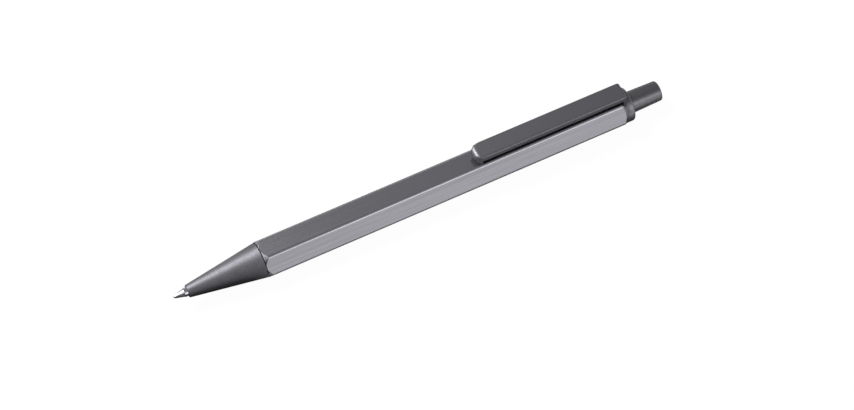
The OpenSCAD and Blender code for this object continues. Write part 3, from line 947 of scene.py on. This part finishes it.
socket_r = BALL_R + BALL_GAP
point = turn("writing_point", [
    (POINT_LIP, LIP_R - LIP_EDGE),
    (POINT_LIP, LIP_R),
    (POINT_LIP + LIP_ROLL, ROLL_R),
    (POINT_CONE_END - CONE_ROUND, CONE_R - CONE_ROUND_DROP),
    (POINT_CONE_END, CONE_R),
    (POINT_CONE_END + SHOULDER_START, POINT_R),
    (POINT_CONE_END + SHOULDER_END, POINT_R),
    (POINT_END, POINT_R),
    (POINT_END, SHANK_BORE),
    (POINT_CONE_END, SHANK_BORE),
    (POINT_CONE_END - BORE_CONE, INK_BORE),
    (INK_BORE_START, INK_BORE),
    *[(BALL_R + socket_r * math.cos(a), socket_r * math.sin(a))
      for a in map(math.radians, SOCKET_DEGREES)],
], COARSE_STEPS)
point.data.materials.append(polished_point)
smooth(point, degrees=22)
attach(point, "refill")
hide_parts("point_housing")
report(point)

# %% [markdown]
# ## Clip
# The clip is one pressing: a blade with turned-down edges, a front end bent down to the barrel, and
# at the back a leg that runs into the ring under the collar. It could be drawn flat and folded, but
# a press also stretches the sheet round every corner. So the solid starts as a block, and is shaped
# by the cuts and rounds that the press tool has. Each edge is found by where it lies.

# %% Clip helpers
NEAR, NEAR_CUT = 0.01, 0.1


def block(name, z0, z1, half, low, high):
    """A box between two stations, heights measured from the pen's axis, all in mm."""
    bpy.ops.object.select_all(action="DESELECT")
    bpy.ops.mesh.primitive_cube_add(
        size=1,
        location=(station((z0 + z1) / 2), 0, AXIS_Z + (low + high) / 2 * MM),
        scale=((z1 - z0) * MM, 2 * half * MM, (high - low) * MM),
    )
    piece = bpy.context.object
    piece.name = name
    settle(piece)
    return piece


def bevel_where(piece, test, width, segments):
    """Bevels the edges for which test(a, b, edge) is true, a and b being its ends in mm."""
    begin_edit(piece)
    bpy.ops.mesh.select_mode(type="EDGE")
    mesh = bmesh.from_edit_mesh(piece.data)
    base = Vector((TIP_X, 0, AXIS_Z))
    chosen = 0
    for edge in mesh.edges:
        hit = test(*[(v.co - base) / MM for v in edge.verts], edge)
        edge.select_set(hit)
        chosen += hit
    bmesh.update_edit_mesh(piece.data)
    bpy.ops.mesh.bevel(offset=width * MM, segments=segments, affect="EDGES")
    end_edit()
    print(f"{piece.name}: {chosen} edges rounded by {width:.2f} mm")


def crossing(z, above):
    """A test for the edge that runs across the pen at station z, higher than above."""
    return lambda a, b, edge: (
        max(abs(a.x - z), abs(b.x - z)) < NEAR and min(a.z, b.z) > above)


# %% [markdown]
# The front end isn't bent square: below its bend it leans back under the blade, so that cloth
# slides in, and the photograph shows only shadow there. Its two corners are sawn off along a slant,
# which gives the clip its tapered front as seen from above.

# %% Clip: front end helpers
CLIP_START, CLIP_END = 82.35, 125.25
CLIP_HALF = 2.5
CUT_LEN, CUT_WIDTH = 2.0, 1.25
WASTE_LEN, WASTE_WIDTH, WASTE_HEIGHT = 12, 4, 20


def set_back_foot(piece, start, foot, distance):
    """Moves the lowest edge of the end face at station start back, so that the face leans."""
    begin_edit(piece)
    mesh = bmesh.from_edit_mesh(piece.data)
    for vert in mesh.verts:
        place = (vert.co - Vector((TIP_X, 0, AXIS_Z))) / MM
        vert.select_set(abs(place.x - start) < NEAR and abs(place.z - foot) < NEAR)
    mesh.select_flush(True)
    bmesh.update_edit_mesh(piece.data)
    bpy.ops.transform.translate(value=(distance * MM, 0, 0))
    end_edit()


def cut_corner(piece, side):
    """Saws one front corner off along a slanting line, seen from above."""
    turned = side * math.atan2(CUT_WIDTH, CUT_LEN)
    out = Vector((-math.sin(turned), math.cos(turned), 0)) * side * WASTE_WIDTH / 2 * MM
    start = Vector((station(CLIP_START), side * (CLIP_HALF - CUT_WIDTH) * MM, AXIS_Z))
    bpy.ops.object.select_all(action="DESELECT")
    bpy.ops.mesh.primitive_cube_add(
        size=1, location=start + out, rotation=(0, 0, turned),
        scale=(WASTE_LEN * MM, WASTE_WIDTH * MM, WASTE_HEIGHT * MM))
    waste = bpy.context.object
    waste.name = "waste"
    settle(waste)
    boolean(piece, waste, "DIFFERENCE")


# %% [markdown]
# The outside follows the press tool: first the front bend and its foot, then the bend over the
# ring, then the corners, whose upright edges are rounded. A bevel along one edge makes a true bend,
# and it has to come before the corners are off, while that edge still runs right across.

# %% Clip: the pressed outside
CLIP_TOP, CLIP_EDGE, CLIP_LIP = 7.87, 6.22, 4.73
FRONT_ROUND, REAR_ROUND, CORNER_ROUND = 1.35, 0.7, 1.0
TUCK = 1.1
UPPER = 7


def on_cut(a, b, edge):
    """True on the upright edge that the slanting cut leaves on each side."""
    upright = abs(a.y - b.y) < NEAR and abs(a.x - b.x) < NEAR
    return (upright and abs(abs(a.y) - CLIP_HALF) < NEAR
            and abs(a.x - CLIP_START - CUT_LEN) < NEAR_CUT)


clip = block("pocket_clip", CLIP_START, CLIP_END, CLIP_HALF, CLIP_LIP, CLIP_TOP)
bevel_where(clip, crossing(CLIP_START, UPPER), FRONT_ROUND, segments=10)
set_back_foot(clip, CLIP_START, CLIP_LIP, TUCK)
bevel_where(clip, crossing(CLIP_END, UPPER), REAR_ROUND, segments=6)
cut_corner(clip, 1)
cut_corner(clip, -1)
bevel_where(clip, on_cut, CORNER_ROUND, segments=5)
report(clip)

# %% [markdown]
# The rim comes last of the outside, all the way round, so that it follows the bends and the slants.
# Its edges are those between a side that stands upright and a top that doesn't.

# %% Clip: the rim
RIM_ROUND = 0.6
LEVEL, SIDEWAYS = 0.01, 0.3


def on_rim(a, b, edge):
    """True on the sharp edge between the top with its bends and the upright sides."""
    if len(edge.link_faces) != 2 or max(a.z, b.z) < CLIP_LIP + NEAR_CUT:
        return False
    upright = [abs(f.normal.z) < LEVEL and abs(f.normal.y) > SIDEWAYS for f in edge.link_faces]
    leg = min(a.x, b.x) > CLIP_END - NEAR and min(a.z, b.z) < CLIP_EDGE
    return upright[0] != upright[1] and not leg


bevel_where(clip, on_rim, RIM_ROUND, segments=6)
report(clip)

# %% [markdown]
# Now the block becomes sheet. A smaller block of the same form is taken out of it, which leaves a
# wall of 0.9 mm. The photograph doesn't show how thick the sheet is, so that is a usual value. A
# second cut opens it below, from the foot to the leg.

# %% Clip: the inside
SHEET = 0.9
INSIDE_LOW, INSIDE_UPPER = 2, 6
RING_START = CLIP_END - SHEET

hollow = block(
    "hollow", CLIP_START + SHEET, RING_START, CLIP_HALF - SHEET, INSIDE_LOW, CLIP_TOP - SHEET)
bevel_where(
    hollow, crossing(CLIP_START + SHEET, INSIDE_UPPER), FRONT_ROUND - SHEET, segments=8)
set_back_foot(
    hollow, CLIP_START + SHEET, INSIDE_LOW,
    TUCK * (CLIP_TOP - FRONT_ROUND - INSIDE_LOW) / (CLIP_TOP - FRONT_ROUND - CLIP_LIP))
boolean(clip, hollow, "DIFFERENCE")
under = block(
    "under", CLIP_START + TUCK + SHEET, RING_START, CLIP_HALF + SPARE, INSIDE_LOW, CLIP_EDGE)
boolean(clip, under, "DIFFERENCE")
report(clip)

# %% [markdown]
# The leg runs down into the ring, which lies between barrel and collar and is nearly as wide as
# they are, so that the collar can clamp it. On the real clip all of it is one sheet, so they are
# united with the blade, and a last fine round goes over every edge that the cuts have left sharp.
# On the real pen the clip springs at its rear bend.

# %% Clip: the leg and the ring
RING_R, RING_HOLE = 4.55, 3.8
LEG_LOW, LEG_OVERLAP = 3.0, 0.6
CLIP_BREAK = 0.06

ring = turn("clip_ring_plate", [
    (RING_START, RING_HOLE), (RING_START, RING_R), (CLIP_END, RING_R), (CLIP_END, RING_HOLE),
], COARSE_STEPS)
leg = block("leg", RING_START, CLIP_END, CLIP_HALF, LEG_LOW, CLIP_LIP + LEG_OVERLAP)
hole = turn("hole", [
    (RING_START - SPARE, 0), (RING_START - SPARE, RING_HOLE), (CLIP_END + SPARE, RING_HOLE),
    (CLIP_END + SPARE, 0),
], COARSE_STEPS, closed=False)
boolean(leg, hole, "DIFFERENCE")
boolean(ring, leg, "UNION")
boolean(clip, ring, "UNION")
break_edges(clip, CLIP_BREAK, degrees=35)
clip.data.materials.append(coated_graphite)
smooth(clip, degrees=30)
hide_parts("clip_blade", "clip_ring")
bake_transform(clip)
report(clip)

# %% [markdown]
# ## Return spring
# The spring is hard drawn wire, coiled round the refill's neck with a closed turn at each end. A
# curve with a round section is the natural way to lay wire, and it is made a mesh once it is right.
# On the pen its front end rests in the nose and its rear end on the refill, so the turns close up
# when the tip comes out.

# %% Return spring: its path
WIRE_R, COIL_R = 0.19, 2.0
SPRING_START, SPRING_END, TURNS = 11.0, 19.0, 9
STEPS_PER_TURN, WIRE_RESOLUTION = 32, 4
END_PLAY, CLOSED_PITCH = 0.03, 2.2

low = SPRING_START + END_PLAY + WIRE_R
high = SPRING_END - END_PLAY - WIRE_R
shut = CLOSED_PITCH * WIRE_R
pitch = (high - low - 2 * shut) / (TURNS - 2)
path = []
for i in range(TURNS * STEPS_PER_TURN + 1):
    t = i / STEPS_PER_TURN
    if t < 1:
        z = low + shut * t
    elif t > TURNS - 1:
        z = high - shut * (TURNS - t)
    else:
        z = low + shut + pitch * (t - 1)
    angle = 2 * math.pi * t
    y, rise = COIL_R * MM * math.cos(angle), COIL_R * MM * math.sin(angle)
    path.append((station(z), y, AXIS_Z + rise, 1))
print(f"spring pitch {pitch:.2f} mm, closed {shut:.2f} mm")

# %% [markdown]
# The path becomes a poly curve, its bevel gives the wire its thickness, and the ends are capped,
# because an open end would show as a hole.

# %% Return spring: its wire
wire = bpy.data.curves.new("spring_wire_path", "CURVE")
wire.dimensions = "3D"
spline = wire.splines.new("POLY")
spline.points.add(len(path) - 1)
for point_on_wire, place in zip(spline.points, path):
    point_on_wire.co = place
wire.bevel_depth = WIRE_R * MM
wire.bevel_resolution = WIRE_RESOLUTION
wire.use_fill_caps = True
spring = bpy.data.objects.new("return_spring_wire", wire)
bpy.context.scene.collection.objects.link(spring)
choose(spring)
bpy.ops.object.convert(target="MESH")
spring = bpy.context.object
spring.data.materials.append(spring_wire)
smooth(spring, degrees=40)
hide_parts("return_spring")
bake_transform(spring)
report(spring)

# %% [markdown]
# ## Pieces kept from the construction model
# The mechanism and the refill lie inside the barrel, and their construction shapes are already the
# real ones: ribs, crowns of teeth, grooves and a necked tube. They only need their finishes.

# %% Finishes of the kept pieces
KEPT = {
    "plunger": moulded_ivory,
    "rotor": moulded_ivory,
    "cam_sleeve": moulded_white,
    "refill_tube": drawn_steel,
    "refill_plug": moulded_black,
    "writing_ball": ball_carbide,
    "ink_column": thick_ink,
}

for name, material in KEPT.items():
    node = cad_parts[name]
    node.data.materials.clear()
    node.data.materials.append(material)
    print(name, "is", material.name)
